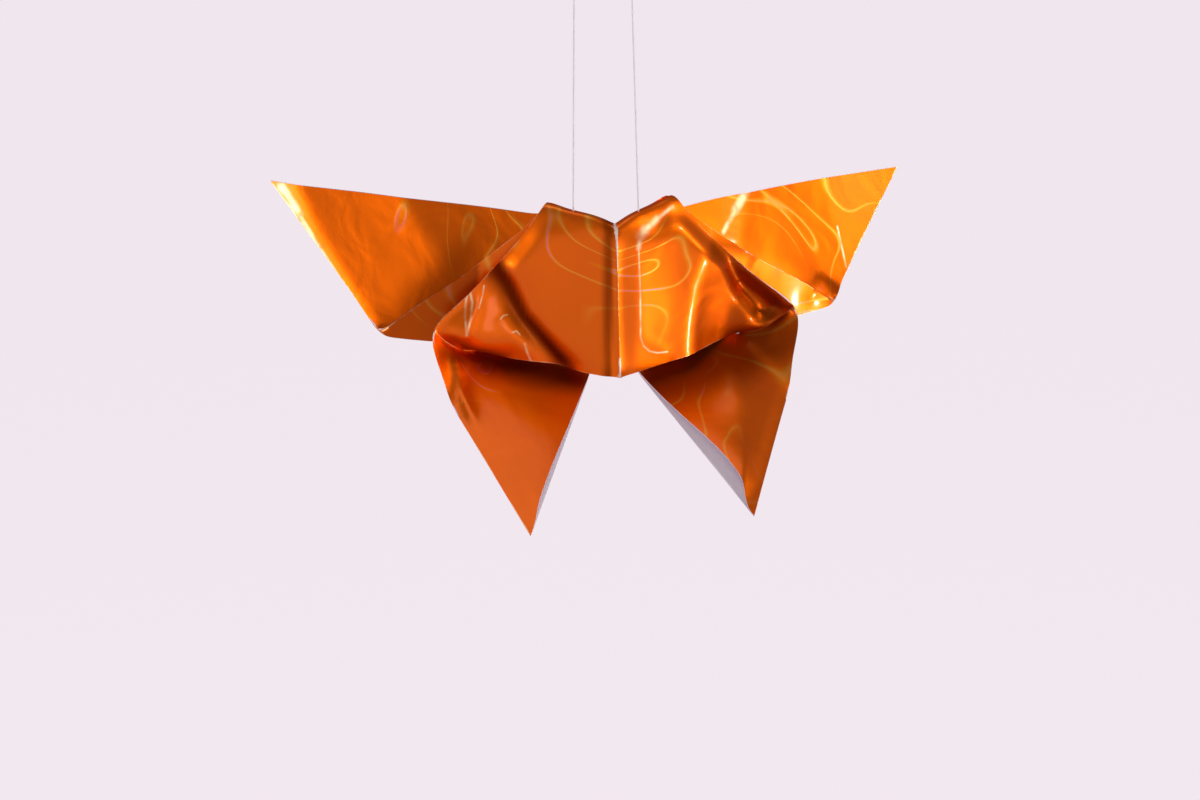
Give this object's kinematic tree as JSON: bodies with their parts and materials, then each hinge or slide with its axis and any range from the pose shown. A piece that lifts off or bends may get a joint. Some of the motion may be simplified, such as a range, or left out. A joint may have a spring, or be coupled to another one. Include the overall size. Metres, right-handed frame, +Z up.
{
  "type": "origami butterfly",
  "caption": "Butterfly folded from one square of orange foil paper, with a puffed body, swept upper wings and pointed lower wings, hung level by taut threads from its top fold.",
  "frame": {"origin": "on the body's top fold, between the two wings and the two thread holes", "axes": "+X along the spread wings to the viewer's right, +Y away from the viewer behind the wings, +Z up the threads"},
  "size_m": [0.1318, 0.0705, 0.1053],
  "materials": {
    "foil_paper": "glossy orange foil outside, matt white paper inside",
    "thread": "matt white cotton"
  },
  "bodies": {
    "root": {"folded_paper": "foil_paper", "left_thread": "thread", "right_thread": "thread"}
  },
  "joints": []
}
